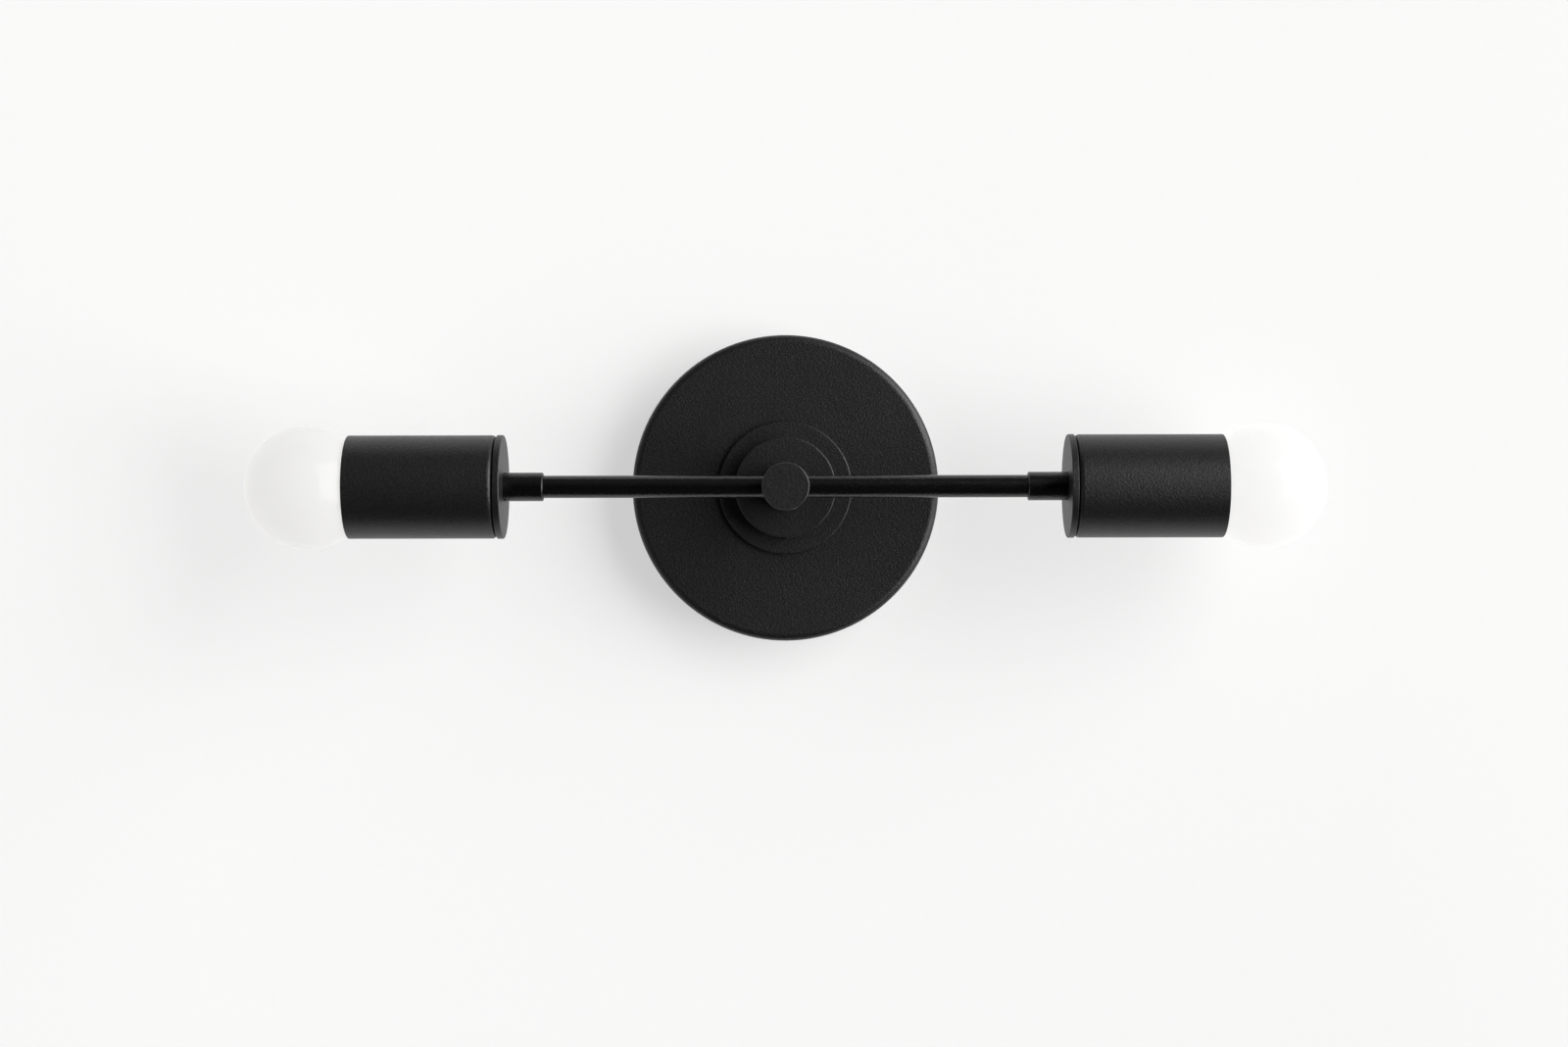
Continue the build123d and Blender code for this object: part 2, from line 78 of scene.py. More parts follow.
# %% Colour and node helpers
def linear(hex_colour):
    """sRGB hex to linear RGBA: c/12.92 up to 0.04045, else ((c + 0.055)/1.055) to the power 2.4."""
    code = np.array([int(hex_colour[i:i + 2], 16) for i in (1, 3, 5)]) / 255.0
    value = np.where(code <= 0.04045, code / 12.92, ((code + 0.055) / 1.055) ** 2.4)
    return (*value.tolist(), 1.0)


def add(tree, kind, sockets=None, **options):
    """Adds one node, sets its options, then fills or links its input sockets."""
    node = tree.nodes.new(kind)
    for name, value in options.items():
        setattr(node, name, value)
    for name, value in (sockets or {}).items():
        if isinstance(value, bpy.types.NodeSocket):
            tree.links.new(value, node.inputs[name])
        else:
            node.inputs[name].default_value = value
    return node


def new_material(name):
    """A node material with an empty tree; returns the material and its tree."""
    material = bpy.data.materials.new(name)
    material.use_nodes = True
    material.node_tree.nodes.clear()
    return material, material.node_tree


print("black on screen #1a1a1b is linear", [round(c, 4) for c in linear("#1a1a1b")[:3]])

# %% [markdown]
# ## The wall
# A plain painted wall stands just behind the canopy's rim. A single quad is enough, because the
# picture shows it evenly smooth. The photograph lifts its whites, so a share of the wall is a plain
# white that only camera, mirror and glass rays meet. The lamps can then stay low, no extra light
# falls on the fitting, and the other share keeps its shadow. This white is a touch weaker on the
# right, where the window already lights the wall, so that the globe there still stands out. Further
# out the wall fades into the pale white of the room, so that no edge shows from the side. Seen from
# behind it turns clear, and it throws no shadow, so the strap and the wires at the back are lit and
# can be looked at.

# %% Wall paint
STIPPLE_MM = 4.0
WALL_LIFT = 0.57  # share of plain white near the fitting
WALL_FADE = (0.45, 1.1)  # metres from the fitting between which the share grows to all of it
FAR_WHITE = 0.92  # strength of the pale white at that distance
WALL_TILT = (1.045, 0.92)  # the white's strength left and right of the middle
TILT_REACH = 0.25  # metres from the middle where it has these strengths


def painted_wall():
    """White emulsion: an even soft white, with roller stipple too fine to see from a metre away."""
    material, tree = new_material("white_wall_paint")
    place = add(tree, "ShaderNodeTexCoord").outputs["Object"]
    stipple = add(tree, "ShaderNodeTexNoise", {
        "Vector": place,
        "Scale": 1 / (STIPPLE_MM * MM),
        "Detail": 2.0,
    })
    tone = add(tree, "ShaderNodeValToRGB", {"Fac": stipple.outputs["Fac"]})
    tone.color_ramp.elements[0].color = linear("#f3f3f2")
    tone.color_ramp.elements[1].color = linear("#f6f6f5")
    paint = add(tree, "ShaderNodeBsdfDiffuse", {"Color": tone.outputs["Color"]})

    # The plain white: full near the fitting, paler far out, and tilted from left to right.
    away = add(tree, "ShaderNodeVectorMath", {0: place}, operation="LENGTH").outputs["Value"]
    fade = {"Value": away, "From Min": WALL_FADE[0], "From Max": WALL_FADE[1]}
    white = add(tree, "ShaderNodeMapRange", {**fade, "To Min": 1.0, "To Max": FAR_WHITE})
    tilt = add(tree, "ShaderNodeMapRange", {
        "Value": add(tree, "ShaderNodeSeparateXYZ", {"Vector": place}).outputs["X"],
        "From Min": -TILT_REACH,
        "From Max": TILT_REACH,
        "To Min": WALL_TILT[0],
        "To Max": WALL_TILT[1],
    })
    level = add(tree, "ShaderNodeMath", {
        0: white.outputs["Result"],
        1: tilt.outputs["Result"],
    }, operation="MULTIPLY")
    glow = add(tree, "ShaderNodeEmission", {
        "Color": linear("#ffffff"),
        "Strength": level.outputs[0],
    })

    # Its share, for camera, mirror and glass rays alone.
    path = add(tree, "ShaderNodeLightPath").outputs
    mirrored = add(tree, "ShaderNodeMath", {
        0: path["Is Camera Ray"],
        1: path["Is Glossy Ray"],
    }, operation="MAXIMUM")
    seen = add(tree, "ShaderNodeMath", {
        0: mirrored.outputs[0],
        1: path["Is Transmission Ray"],
    }, operation="MAXIMUM")
    lift = add(tree, "ShaderNodeMapRange", {**fade, "To Min": WALL_LIFT, "To Max": 1.0})
    share = add(tree, "ShaderNodeMath", {
        0: seen.outputs[0],
        1: lift.outputs["Result"],
    }, operation="MULTIPLY")
    lifted = add(tree, "ShaderNodeMixShader", {
        0: share.outputs[0],
        1: paint.outputs[0],
        2: glow.outputs[0],
    })

    behind = add(tree, "ShaderNodeNewGeometry").outputs["Backfacing"]
    clear = add(tree, "ShaderNodeBsdfTransparent")
    mix = add(tree, "ShaderNodeMixShader", {0: behind, 1: lifted.outputs[0], 2: clear.outputs[0]})
    add(tree, "ShaderNodeOutputMaterial", {"Surface": mix.outputs[0]})
    return material


wall_paint = painted_wall()
print(wall_paint.name, "has", len(wall_paint.node_tree.nodes), "nodes")

# %% Wall
WALL_HALF = 3.0
WALL_Y = 0.3 * MM
SQUARE = np.array([(-1, 0, -1), (1, 0, -1), (1, 0, 1), (-1, 0, 1)])

wall_mesh = bpy.data.meshes.new("wall")
wall_mesh.from_pydata((SQUARE * WALL_HALF + (0, WALL_Y, 0)).tolist(), [], [(0, 1, 2, 3)])
wall_mesh.materials.append(wall_paint)
wall = bpy.data.objects.new("wall", wall_mesh)
wall.visible_shadow = False
bpy.context.scene.collection.objects.link(wall)
print("wall faces", tuple(round(c, 2) for c in wall_mesh.polygons[0].normal))

# %% [markdown]
# ## Lamps
# The photograph is lit by one broad soft light from the right, a little above, as from a large
# window, and it leaves a soft grey shadow left of the canopy. One large area lamp stands for that
# window, a weak one on the left for what the room sends back, and a weak one behind the wall lights
# the strap. All of them look at the middle of the fitting.

# %% Lamps
def soft_lamp(name, place, size, watts):
    """A rectangular area lamp at a place, turned so that its face looks at the origin."""
    data = bpy.data.lights.new(name, "AREA")
    data.shape = "RECTANGLE"
    data.size, data.size_y = size
    data.energy = watts
    lamp = bpy.data.objects.new(name, data)
    lamp.location = place
    lamp.visible_camera = False
    way = np.array(place) / np.linalg.norm(place)
    lamp.rotation_euler = (math.acos(way[2]), 0.0, math.atan2(way[0], -way[1]))
    bpy.context.scene.collection.objects.link(lamp)
    print(name, watts, "watts from", round(float(np.linalg.norm(place)), 2), "m")


soft_lamp("window_light", (3.6, -2.25, 0.8), (4.8, 5.6), 455.0)
soft_lamp("room_bounce", (-1.9, -1.1, -0.4), (2.0, 2.4), 6.0)
soft_lamp("rear_fill", (0.3, 1.6, 0.6), (1.5, 1.5), 6.0)

# %% [markdown]
# ## Sky
# A dim sky, brighter towards the ceiling, fills what the lamps leave dark. It is darkest straight in
# front, because a glossy black finish mirrors whatever stands behind the camera. Rays that go
# straight from the camera past everything see a pale white, the same as the far end of the wall.

# %% Sky
SKY_LOW, SKY_HIGH = 0.05, 0.16  # strength towards the floor and towards the ceiling
SKY_RISE = (-0.4, 0.7)  # z of the direction between which the strength grows
SKY_FRONT = 0.1  # share of it that is left straight in front of the wall
FRONT_EDGE = (-1.0, -0.75)  # y of the direction between which the share grows to all of it

world = bpy.data.worlds.new("room")
world.use_nodes = True
sky = world.node_tree
sky.nodes.clear()
direction = add(sky, "ShaderNodeTexCoord").outputs["Generated"]
way = add(sky, "ShaderNodeSeparateXYZ", {"Vector": direction}).outputs
fill = add(sky, "ShaderNodeMapRange", {
    "Value": way["Z"],
    "From Min": SKY_RISE[0],
    "From Max": SKY_RISE[1],
    "To Min": SKY_LOW,
    "To Max": SKY_HIGH,
})
front = add(sky, "ShaderNodeMapRange", {
    "Value": way["Y"],
    "From Min": FRONT_EDGE[0],
    "From Max": FRONT_EDGE[1],
    "To Min": SKY_FRONT,
    "To Max": 1.0,
})
level = add(sky, "ShaderNodeMath", {
    0: fill.outputs["Result"],
    1: front.outputs["Result"],
}, operation="MULTIPLY")
dim = add(sky, "ShaderNodeBackground", {"Color": linear("#fbfaf8"), "Strength": level.outputs[0]})
white = add(sky, "ShaderNodeBackground", {"Color": linear("#ffffff"), "Strength": FAR_WHITE})
seen = add(sky, "ShaderNodeLightPath").outputs["Is Camera Ray"]
room = add(sky, "ShaderNodeMixShader", {0: seen, 1: dim.outputs[0], 2: white.outputs[0]})
add(sky, "ShaderNodeOutputWorld", {"Surface": room.outputs[0]})
bpy.context.scene.world = world
print("sky from", SKY_LOW, "to", SKY_HIGH)

# %% [markdown]
# ## Black powder coat
# Canopy, rings, stem, arms, couplings, washers and cups are steel with a black powder coat, matt on
# most and a little smoother on arms and couplings. The powder melts on the hot metal into a film
# with a very fine pebble, which breaks up reflections. A noise texture in real millimetres drives a
# small bump and a slight change of tone, and a wider one a slight change of gloss.

# %% Powder coat
PEBBLE_MM = 0.8  # a real pebble is about 0.3 mm, drawn wider because finer ones vanish
PEBBLE_HIGH_MM = 0.15
PEBBLE_TURN = (0.6, 0.4, 0.3)  # radians, so that no flat face lies along the noise's cells
CLOUD_MM = 25.0
NOISE_SPAN = (0.3, 0.7)  # a noise seldom leaves this span, so the tones are spread over it


def powder_coat(name, dark, light, rough):
    """Black powder coat: a deep black with soft dull highlights and the same fine grain all over."""
    material, tree = new_material(name)
    place = add(tree, "ShaderNodeTexCoord").outputs["Object"]
    turned = add(tree, "ShaderNodeMapping", {"Vector": place, "Rotation": PEBBLE_TURN})
    pebble = add(tree, "ShaderNodeTexNoise", {
        "Vector": turned.outputs["Vector"],
        "Scale": 1 / (PEBBLE_MM * MM),
        "Detail": 4.0,
    }).outputs["Fac"]
    cloud = add(tree, "ShaderNodeTexNoise", {
        "Vector": place,
        "Scale": 1 / (CLOUD_MM * MM),
        "Detail": 2.0,
    }).outputs["Fac"]
    tone = add(tree, "ShaderNodeValToRGB", {"Fac": pebble})
    for stop, position, colour in zip(tone.color_ramp.elements, NOISE_SPAN, (dark, light)):
        stop.position, stop.color = position, linear(colour)
    gloss = add(tree, "ShaderNodeMapRange", {"Value": cloud, "To Min": rough[0], "To Max": rough[1]})
    bump = add(tree, "ShaderNodeBump", {
        "Height": pebble,
        "Strength": 1.0,
        "Distance": PEBBLE_HIGH_MM * MM,
    })
    coat = add(tree, "ShaderNodeBsdfPrincipled", {
        "Base Color": tone.outputs["Color"],
        "Roughness": gloss.outputs["Result"],
        "IOR": 1.5,
        "Normal": bump.outputs["Normal"],
    })
    add(tree, "ShaderNodeOutputMaterial", {"Surface": coat.outputs["BSDF"]})
    return material


matt = powder_coat("matt_black_powder_coat", "#010102", "#151516", (0.40, 0.46))
satin = powder_coat("satin_black_powder_coat", "#030304", "#080809", (0.18, 0.24))
print("powder coats", matt.name, "and", satin.name)

# %% Coated pieces
SIDES = ("left", "right")


def both(*pieces):
    """The names of pieces that the light has on its left and on its right."""
    return [f"{piece}_{side}" for side in SIDES for piece in pieces]


def dress(material, names):
    """Puts a material in every slot of the named CAD nodes."""
    for name in names:
        for slot in nodes[name].material_slots:
            slot.material = material
    print(material.name, "on", len(names), "nodes")


dress(matt, ["canopy", "check_ring", "slip_collar", "stem", "stem_cap"])
dress(matt, both("cup_washer", "socket_cup"))
dress(satin, both("arm", "coupling"))

# %% [markdown]
# ## Surfaces round an axis
# Everything that is added here is round: globes, screw bases and threads. Such a piece is a grid of
# points, where one parameter runs round the axis and the other along the outline. Working with whole
# arrays keeps it short: the radius and the place along the axis are worked out for all points at
# once, and the faces come from the grid's own numbering.

# %% Axes and points
TURN = 2 * np.pi
ARM_OUT = 59.0 * MM
X, Y, Z = np.eye(3)
# Each set holds an origin, two directions across the axis and the direction along it.
arm_axes = {
    "right": (-ARM_OUT * Y, Y, Z, X),
    "left": (-ARM_OUT * Y, Y, -Z, -X),
}
stem_axes = (np.zeros(3), X, Z, -Y)


def around(steps):
    """Equal steps of angle: step number times a full turn over their count."""
    return np.arange(steps) * TURN / steps


def round_points(axes, radius, along, angle):
    """Points of whole grids, each the origin + along x axis + radius x the direction of its angle.

    That direction is cos angle x the first cross direction + sin angle x the second."""
    origin, first, second, axis = axes
    across = np.cos(angle)[..., None] * first + np.sin(angle)[..., None] * second
    return origin + along[..., None] * axis + radius[..., None] * across


print("arm axes stand", ARM_OUT / MM, "mm out from the wall")

# %% Skin over rings
SHARP = math.radians(40)  # edges that bend more than this stay crisp


def round_skin(name, rings, loop=False, tips=None):
    """Faces over rings of points, each joined to the next ring and to its own next point.

    loop joins the last ring to the first, and tips closes both ends in a point."""
    rows, steps = rings.shape[:2]
    index = np.arange(rows * steps).reshape(rows, steps)
    index = np.vstack([index, index[:1]]) if loop else index
    ahead = np.roll(index, -1, axis=1)
    faces = np.stack([index[:-1], ahead[:-1], ahead[1:], index[1:]], axis=-1)
    faces = faces.reshape(-1, 4).tolist()
    points = rings.reshape(-1, 3)
    if tips is not None:
        points = np.vstack([points, tips])
        start, end = np.full(steps, rows * steps), np.full(steps, rows * steps + 1)
        faces += np.stack([start, ahead[0], index[0]], axis=-1).tolist()
        faces += np.stack([end, index[-1], ahead[-1]], axis=-1).tolist()
    mesh = bpy.data.meshes.new(name)
    mesh.from_pydata(points.tolist(), [], faces)
    mesh.shade_smooth()
    mesh.set_sharp_from_angle(angle=SHARP)
    piece = bpy.data.objects.new(name, mesh)
    bpy.context.scene.collection.objects.link(piece)
    print(name, len(mesh.vertices), "points", len(mesh.polygons), "faces")
    return piece


print("edges that bend more than", round(math.degrees(SHARP)), "degrees stay crisp")

# %% [markdown]
# ## Opal glass
# The globes are blown glass with a milky inner layer. It sends some light back and lets more of it
# through, scattered, so the inside fills with light and the whole ball looks evenly white, while the
# outside stays glossy. Scattering inside a filled ball is the other way to make it, but it leaves a
# bright line round the edge. Here a closed skin stands for the thin wall, mixed from a glossy
# diffuse share and a larger translucent share. In the photograph even the shaded side is nearly
# white, since a bright room is all round it, so a low glow of painted light stands in for that
# room's light on the shaded side.

# %% Opal glass
THROUGH = 0.75  # share of the light that the milky layer lets through
# strength of a painted glow that stands in for the room's light on the globe's shaded side
PAINTED_ROOM_LIGHT = 1.2
MILK_CLOUD_MM = 12.0


def opal_glass():
    """Opal glass: an even, nearly shadeless white, partly from a painted glow, a soft gloss and
    faint clouds in its tone.
    """
    material, tree = new_material("opal_glass")
    place = add(tree, "ShaderNodeTexCoord").outputs["Object"]
    cloud = add(tree, "ShaderNodeTexNoise", {
        "Vector": place,
        "Scale": 1 / (MILK_CLOUD_MM * MM),
        "Detail": 2.0,
    }).outputs["Fac"]
    tone = add(tree, "ShaderNodeValToRGB", {"Fac": cloud})
    tone.color_ramp.elements[0].color = linear("#9f9f9f")
    tone.color_ramp.elements[1].color = linear("#a6a6a6")
    gloss = add(tree, "ShaderNodeMapRange", {"Value": cloud, "To Min": 0.08, "To Max": 0.14})
    skin = add(tree, "ShaderNodeBsdfPrincipled", {
        "Base Color": tone.outputs["Color"],
        "Roughness": gloss.outputs["Result"],
        "IOR": 1.5,
        # painted light: this glow lightens the shaded side as the room's light would
        "Emission Color": linear("#fffefc"),
        "Emission Strength": PAINTED_ROOM_LIGHT,
    })
    milk = add(tree, "ShaderNodeBsdfTranslucent", {"Color": linear("#e7e7e7")})
    glass = add(tree, "ShaderNodeMixShader", {
        0: THROUGH,
        1: skin.outputs["BSDF"],
        2: milk.outputs[0],
    })
    add(tree, "ShaderNodeOutputMaterial", {"Surface": glass.outputs[0]})
    return material


opal = opal_glass()
print(opal.name, "lets", THROUGH, "of the light through")

# %% [markdown]
# ## Globes
# Each globe is its outline turned round the arm's axis: a straight neck, a small concave bend and a
# ball. A ready-made sphere has no neck, and would leave a gap where the globe enters its base.

# %% Globes
GLOBE_R = 25.0 * MM
GLOBE_CENTRE = 191.1 * MM
NECK_R = 12.2 * MM
NECK_END = 162.5 * MM
NECK_BEND = 1.0 * MM
NECK_STEPS, BEND_STEPS, BALL_STEPS, GLOBE_STEPS = 5, 10, 72, 128


def globe_outline():
    """Radius and place along the axis: neck line, concave arc that touches neck and ball, then ball.

    The ball's radius is that of the globe x cos of the latitude, and its place goes with the sin."""
    bend_r = NECK_R + NECK_BEND
    drop = math.sqrt((GLOBE_R + NECK_BEND) ** 2 - bend_r ** 2)
    bend_at = GLOBE_CENTRE - drop
    tilt = math.atan2(drop, bend_r)
    neck = np.linspace(NECK_END, bend_at, NECK_STEPS)[:-1]
    turn = np.linspace(0.0, tilt, BEND_STEPS)
    ball = np.linspace(-tilt, np.pi / 2, BALL_STEPS)[1:-1]
    radius = np.concatenate([
        np.full_like(neck, NECK_R),
        bend_r - NECK_BEND * np.cos(turn),
        GLOBE_R * np.cos(ball),
    ])
    along = np.concatenate([
        neck,
        bend_at + NECK_BEND * np.sin(turn),
        GLOBE_CENTRE + GLOBE_R * np.sin(ball),
    ])
    return radius[:, None], along[:, None]


globe_grid = np.broadcast_arrays(*globe_outline(), around(GLOBE_STEPS)[None, :])
for side in SIDES:
    origin, axis = arm_axes[side][0], arm_axes[side][3]
    ends = np.array([origin + NECK_END * axis, origin + (GLOBE_CENTRE + GLOBE_R) * axis])
    rings = round_points(arm_axes[side], *globe_grid)
    globe = round_skin(f"opal_globe_{side}", rings, tips=ends)
    globe.data.materials.append(opal)
    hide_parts(f"bulb_globe_{side}")
    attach(globe, f"{side}_bulb")

# %% [markdown]
# ## Plated and bare metals
# The strap, nuts, bracket and screws are zinc plated, the bulb's base is nickel plated, the socket's
# shell and contact are brass. All are metals with a worn or rolled skin, so one function makes them:
# a noise along the surface shifts the colour and the gloss between two values.

# %% Metals
METAL_BUMP_MM = 0.02


def plated(name, dark, light, rough, grain_mm):
    """A metal whose colour and gloss wander between two values over patches of one grain size."""
    material, tree = new_material(name)
    place = add(tree, "ShaderNodeTexCoord").outputs["Object"]
    patch = add(tree, "ShaderNodeTexNoise", {
        "Vector": place,
        "Scale": 1 / (grain_mm * MM),
        "Detail": 4.0,
    }).outputs["Fac"]
    tone = add(tree, "ShaderNodeValToRGB", {"Fac": patch})
    for stop, position, colour in zip(tone.color_ramp.elements, NOISE_SPAN, (dark, light)):
        stop.position, stop.color = position, linear(colour)
    gloss = add(tree, "ShaderNodeMapRange", {"Value": patch, "To Min": rough[0], "To Max": rough[1]})
    bump = add(tree, "ShaderNodeBump", {
        "Height": patch,
        "Strength": 0.15,
        "Distance": METAL_BUMP_MM * MM,
    })
    metal = add(tree, "ShaderNodeBsdfPrincipled", {
        "Base Color": tone.outputs["Color"],
        "Metallic": 1.0,
        "Roughness": gloss.outputs["Result"],
        "Normal": bump.outputs["Normal"],
    })
    add(tree, "ShaderNodeOutputMaterial", {"Surface": metal.outputs["BSDF"]})
    return material


# Zinc plate is a cool grey with patches from the bath, brass is yellow and nickel a warm grey. Cast
# aluminium and solder are duller greys, and black oxide a dark film that hardly shines.
zinc = plated("zinc_plated_steel", "#a9adb0", "#c3c6c8", (0.28, 0.42), 3.0)
brass = plated("rolled_brass", "#b58f4a", "#cba866", (0.22, 0.36), 2.0)
nickel = plated("nickel_plated_base", "#b9b5ad", "#cfccc5", (0.18, 0.30), 2.5)
cast = plated("cast_aluminium", "#9a9b9c", "#b4b5b6", (0.45, 0.60), 1.2)
solder = plated("solder", "#9c9d9b", "#b7b8b5", (0.30, 0.45), 1.0)
oxide = plated("black_oxide_steel", "#1c1c1e", "#2a2a2c", (0.35, 0.50), 0.8)
print("metals", [metal.name for metal in (zinc, brass, nickel, cast, solder, oxide)])

# %% Metal pieces
dress(zinc, ["mounting_strap", "strap_lock_nuts"])
dress(zinc, both("socket_nipple", "cup_nut", "holder_bracket", "bracket_screws"))
dress(brass, both("centre_contact"))
dress(cast, both("led_carrier"))
dress(solder, both("bulb_contact"))
dress(oxide, ["collar_set_screw"])

# %% [markdown]
# ## Porcelain, enamel, black glass and insulation
# The remaining finishes are not metals. They share a clear or glossy skin over a body colour, so a
# second function makes them, with its own grain and gloss for each.

# %% Glazes and plastics
GLAZE_BUMP_MM = 0.03


def glazed(name, dark, light, rough, grain_mm):
    """A glossy body colour that wanders between two tones over patches of one grain size."""
    material, tree = new_material(name)
    place = add(tree, "ShaderNodeTexCoord").outputs["Object"]
    patch = add(tree, "ShaderNodeTexNoise", {
        "Vector": place,
        "Scale": 1 / (grain_mm * MM),
        "Detail": 3.0,
    }).outputs["Fac"]
    tone = add(tree, "ShaderNodeValToRGB", {"Fac": patch})
    tone.color_ramp.elements[0].color = linear(dark)
    tone.color_ramp.elements[1].color = linear(light)
    gloss = add(tree, "ShaderNodeMapRange", {"Value": patch, "To Min": rough[0], "To Max": rough[1]})
    bump = add(tree, "ShaderNodeBump", {
        "Height": patch,
        "Strength": 0.1,
        "Distance": GLAZE_BUMP_MM * MM,
    })
    skin = add(tree, "ShaderNodeBsdfPrincipled", {
        "Base Color": tone.outputs["Color"],
        "Roughness": gloss.outputs["Result"],
        "IOR": 1.5,
        "Normal": bump.outputs["Normal"],
    })
    add(tree, "ShaderNodeOutputMaterial", {"Surface": skin.outputs["BSDF"]})
    return material


# Porcelain is a warm white under clear glaze, the earth screw a bright green enamel, the bulb's
# insulator pressed black glass, the board a matt white lacquer, the wires glossy extruded plastic.
porcelain = glazed("white_porcelain", "#e9e6df", "#f3f1ec", (0.12, 0.22), 4.0)
enamel = glazed("green_enamel", "#1f7a3c", "#2b9149", (0.25, 0.38), 1.5)
black_glass = glazed("black_glass", "#0b0b0c", "#141416", (0.08, 0.16), 2.0)
lacquer = glazed("white_solder_mask", "#e4e6e4", "#f0f1ef", (0.40, 0.55), 1.5)
black_wire = glazed("black_insulation", "#141415", "#1f1f21", (0.35, 0.48), 3.0)
white_wire = glazed("white_insulation", "#dcdad3", "#ebe9e3", (0.35, 0.48), 3.0)
print("glazes", [glaze.name for glaze in (porcelain, enamel, black_glass, lacquer)])
print("plastics", [wire.name for wire in (black_wire, white_wire)])

# %% Glazed and insulated pieces
dress(porcelain, both("lampholder"))
dress(enamel, ["ground_screw"])
dress(black_glass, both("bulb_insulator"))
dress(lacquer, both("led_board"))
dress(black_wire, both("lead_hot"))
dress(white_wire, both("lead_neutral"))

# %% [markdown]
# ## Bulb thread
# A medium screw base is thin metal rolled into a round-topped thread of seven turns to the inch, and
# the socket's brass shell has the same thread a little wider. Written as a radius that swings with
# the angle and the place along the axis, both come from one formula. They share its phase, so when a
# bulb turns once and moves out by one pitch, its thread still lies in the shell's thread.

# %% Bulb thread
INCH = 25.4 * MM
PITCH = INCH / 7
THREAD_SWING = 0.35 * MM
THREAD_FADE = 2 * MM
THREAD_STEPS = 96


def ease(value, low, high):
    """0 below low, 1 above high, and 3t^2 - 2t^3 between them."""
    t = np.clip((value - low) / (high - low), 0.0, 1.0)
    return t * t * (3 - 2 * t)


def thread(along, angle, low, high):
    """Right-hand wave cos(2 pi along / pitch - angle), faded in and out at both ends.

    Returns the fade, from 0 to 1, and the faded wave."""
    fade = ease(along, low, low + THREAD_FADE) * (1 - ease(along, high - THREAD_FADE, high))
    return fade, fade * np.cos(TURN * along / PITCH - angle)


print("bulb pitch in mm", round(PITCH / MM, 3))

# %% [markdown]
# ## Threaded bases
# The bulb's base widens from a small foot into the thread and ends in a plain collar, where a ring
# of punched dimples holds it on the bulb. Its outside is one formula, and its inside is the same
# outside less the thickness of the metal, as rolled sheet has it.

# %% Threaded bases
BASE_SPAN_MM = (145.4, 168.45)
BASE_ROWS = 150
BASE_WALL = 0.4 * MM
FOOT_R, FOOT_RISE = 10.8 * MM, 2.1 * MM
FOOT_FROM, FOOT_TO = 144.4 * MM, 149.0 * MM
BASE_THREAD = (147.6 * MM, 162.6 * MM)
THREAD_DROP = 0.15 * MM  # the thread's middle lies this much below the collar
DIMPLES, DIMPLE_AT, COLLAR_R = 12, 165.6 * MM, 12.9 * MM
DIMPLE_R, DIMPLE_DEEP = 0.7 * MM, 0.3 * MM


def base_outside(along, angle):
    """Screw base: eased cone at the foot + thread - dimples, each exp(-(distance / radius)^2)."""
    foot = FOOT_R + FOOT_RISE * ease(along, FOOT_FROM, FOOT_TO)
    fade, wave = thread(along, angle, *BASE_THREAD)
    nearest = (np.mod(angle * DIMPLES / TURN + 0.5, 1.0) - 0.5) * TURN / DIMPLES
    away = ((along - DIMPLE_AT) ** 2 + (COLLAR_R * nearest) ** 2) / DIMPLE_R ** 2
    return foot - THREAD_DROP * fade + THREAD_SWING * wave - DIMPLE_DEEP * np.exp(-away)


base_rows = np.linspace(*BASE_SPAN_MM, BASE_ROWS) * MM
along, angle = np.meshgrid(base_rows, around(THREAD_STEPS), indexing="ij")
outside = base_outside(along, angle)
base_grid = (
    np.vstack([outside, outside[::-1] - BASE_WALL]),
    np.vstack([along, along[::-1]]),
    np.vstack([angle, angle]),
)
for side in SIDES:
    rings = round_points(arm_axes[side], *base_grid)
    base = round_skin(f"threaded_base_{side}", rings, loop=True)
    base.data.materials.append(nickel)
    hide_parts(f"bulb_base_{side}")
    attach(base, f"{side}_bulb")

# %% [markdown]
# ## Threaded shells
# The shell in the socket is a deep-drawn cup of brass: a threaded wall and a floor with a wide hole
# for the centre contact. One closed outline goes from the hole across the back of the floor, up the
# outside, down the inside and back to the hole.

# %% Threaded shells
SHELL_SPAN_MM = (137.6, 159.7)
SHELL_ROWS = 140
SHELL_R, SHELL_OUT_R, SHELL_WALL = 13.1 * MM, 13.5 * MM, 0.4 * MM
SHELL_THREAD = (138.0 * MM, 159.5 * MM)
HOLE_R = 8.0 * MM
FLOOR_BACK, FLOOR_FRONT = 137.2 * MM, 137.6 * MM

shell_rows = np.linspace(*SHELL_SPAN_MM, SHELL_ROWS) * MM
along, angle = np.meshgrid(shell_rows, around(THREAD_STEPS), indexing="ij")
inside = SHELL_R + THREAD_SWING * thread(along, angle, *SHELL_THREAD)[1]
ring = np.ones((1, THREAD_STEPS))
radius = np.vstack([
    HOLE_R * ring,
    SHELL_OUT_R * ring,
    inside + SHELL_WALL,
    inside[::-1],
    HOLE_R * ring,
])
height = np.vstack([
    FLOOR_BACK * ring,
    FLOOR_BACK * ring,
    along,
    along[::-1],
    FLOOR_FRONT * ring,
])
shell_grid = np.broadcast_arrays(radius, height, around(THREAD_STEPS))
for side in SIDES:
    rings = round_points(arm_axes[side], *shell_grid)
    shell = round_skin(f"threaded_shell_{side}", rings, loop=True)
    shell.data.materials.append(brass)
    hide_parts(f"screw_shell_{side}")
    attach(shell, "fixture")

# %% [markdown]
# ## Lamp pipe at the back
# The short pipe that joins strap and stem is threaded all along, 27 turns to the inch, and shows at
# the back between and behind the nuts. Its thread is a sharp V, so a straight ridge takes the place
# of the wave, cut down towards both ends as a die leaves it.

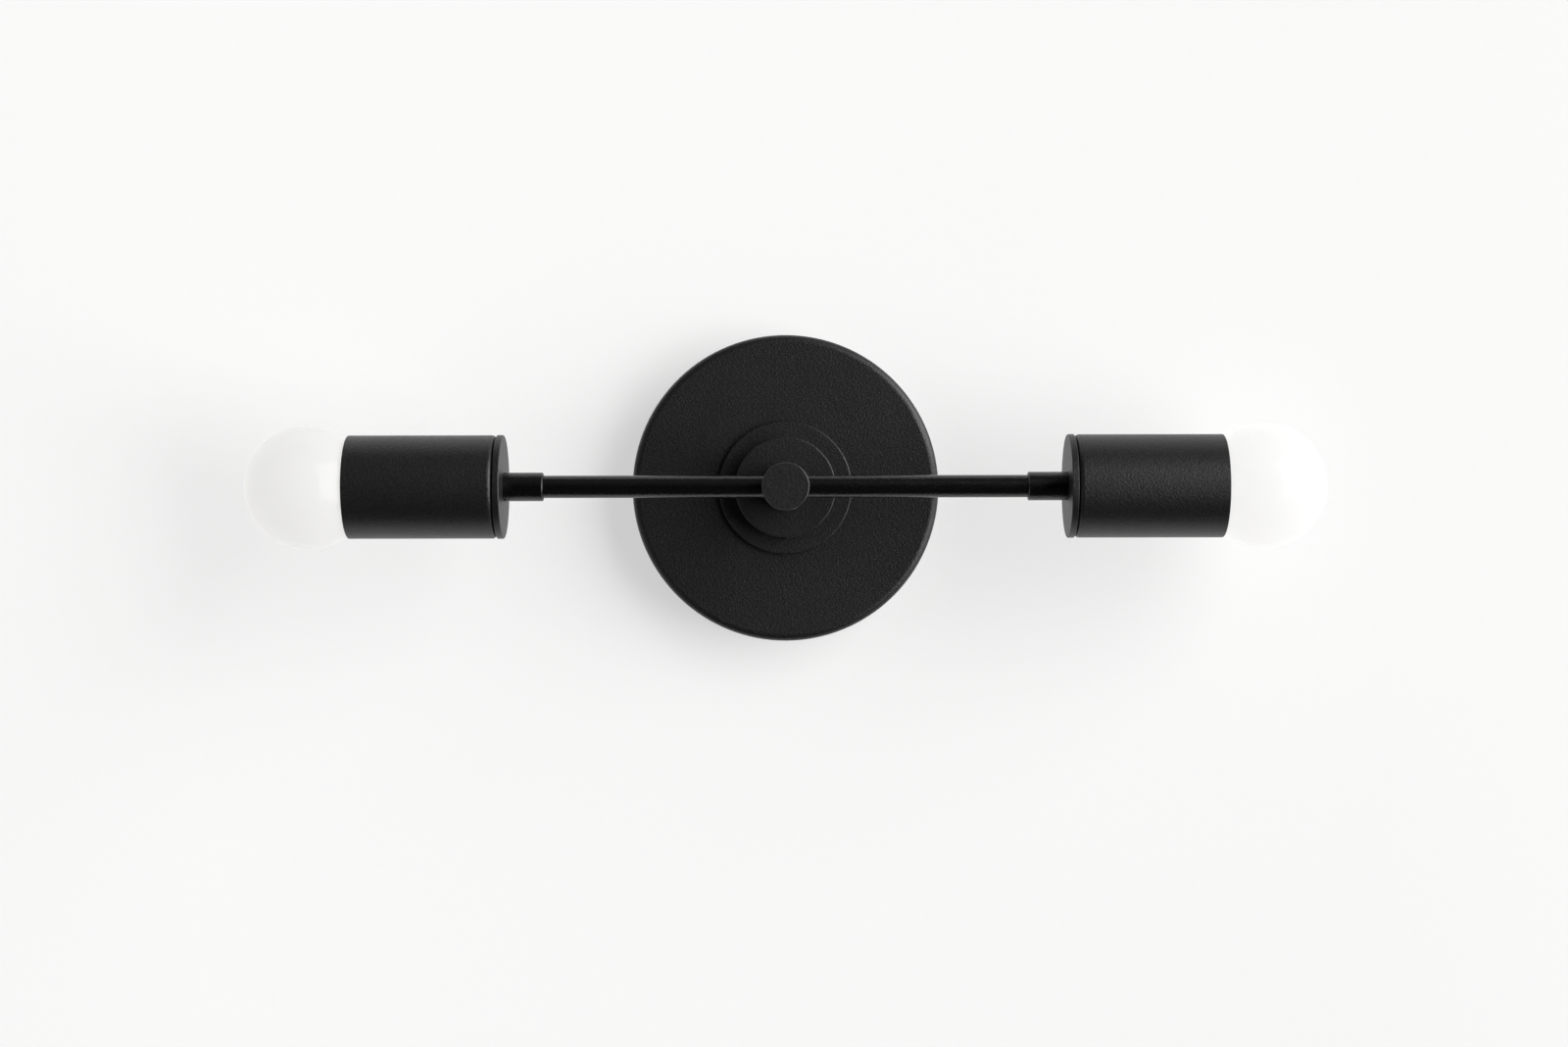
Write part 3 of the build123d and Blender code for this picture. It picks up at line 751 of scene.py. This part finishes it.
# %% Lamp pipe
PIPE_PITCH = INCH / 27
PIPE_FROM_MM, PIPE_TO_MM = 2.5, 23.0
PIPE_ROWS, PIPE_STEPS = 220, 64
PIPE_R, BORE_R = 5.06 * MM, 3.36 * MM
ROOT_R, RIDGE_HIGH = 4.56 * MM, 0.5 * MM
END_CUT = 0.45 * MM
END_FROM, END_TO = -0.2 * MM, 0.9 * MM  # distance from an end between which the cut runs out

pipe_rows = np.linspace(PIPE_FROM_MM, PIPE_TO_MM, PIPE_ROWS) * MM
along, angle = np.meshgrid(pipe_rows, around(PIPE_STEPS), indexing="ij")
# Radius = the lesser of the crest, lower by the cut at both ends, and root + ridge. The ridge falls
# from 1 to 0 and rises to 1 again over each pitch, in step with the angle.
ends_in = np.minimum(along - PIPE_FROM_MM * MM, PIPE_TO_MM * MM - along)
crest = PIPE_R - END_CUT * (1 - ease(ends_in, END_FROM, END_TO))
ridge = np.abs(np.mod(along / PIPE_PITCH - angle / TURN, 1.0) * 2 - 1)
outside = np.minimum(crest, ROOT_R + RIDGE_HIGH * ridge)
radius = np.vstack([outside, np.full((2, PIPE_STEPS), BORE_R)])
height = np.vstack([along, along[-1:], along[:1]])
rings = round_points(stem_axes, radius, height, np.vstack([angle, angle[:2]]))
pipe = round_skin("threaded_lamp_pipe", rings, loop=True)
pipe.data.materials.append(zinc)
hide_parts("strap_nipple")
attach(pipe, "fixture")

# %% [markdown]
# ## Stripped wire ends
# The four wires end in the pipe, stripped to their tinned strands. Single strands would be too thin
# to see, so a bundle of twisted strands is a round rod, and its radius has six lobes that wind
# along it.

# %% Stripped wire ends
LEAD_AT = 1.45 * MM  # place of each wire across the pipe, both ways from its axis
END_SPAN_MM = (2.7, 0.9)
END_ROWS, END_STEPS = 12, 36
BUNDLE_R, LOBE_HIGH = 0.62 * MM, 0.10 * MM
LOBES, LOBE_LAY = 6, 9 * MM

strands = plated("tinned_copper_strands", "#a8a49c", "#c2bfb8", (0.25, 0.38), 0.4)
end_rows = np.linspace(*END_SPAN_MM, END_ROWS) * MM
along, angle = np.meshgrid(end_rows, around(END_STEPS), indexing="ij")
# Radius = bundle + lobe x cos(lobes x angle + a full turn for each length of lay).
radius = BUNDLE_R + LOBE_HIGH * np.cos(LOBES * angle + TURN * along / LOBE_LAY)
wires = {
    "hot_left": (-1, 1),
    "hot_right": (1, 1),
    "neutral_left": (-1, -1),
    "neutral_right": (1, -1),
}
for name, (x, z) in wires.items():
    place = np.array((x * LEAD_AT, 0, z * LEAD_AT))
    rings = round_points((place, X, -Z, Y), radius, -along, angle)
    ends = np.array([place - end_rows[0] * Y, place - end_rows[-1] * Y])
    end = round_skin(f"stripped_end_{name}", rings, tips=ends)
    end.data.materials.append(strands)
    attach(end, "fixture")
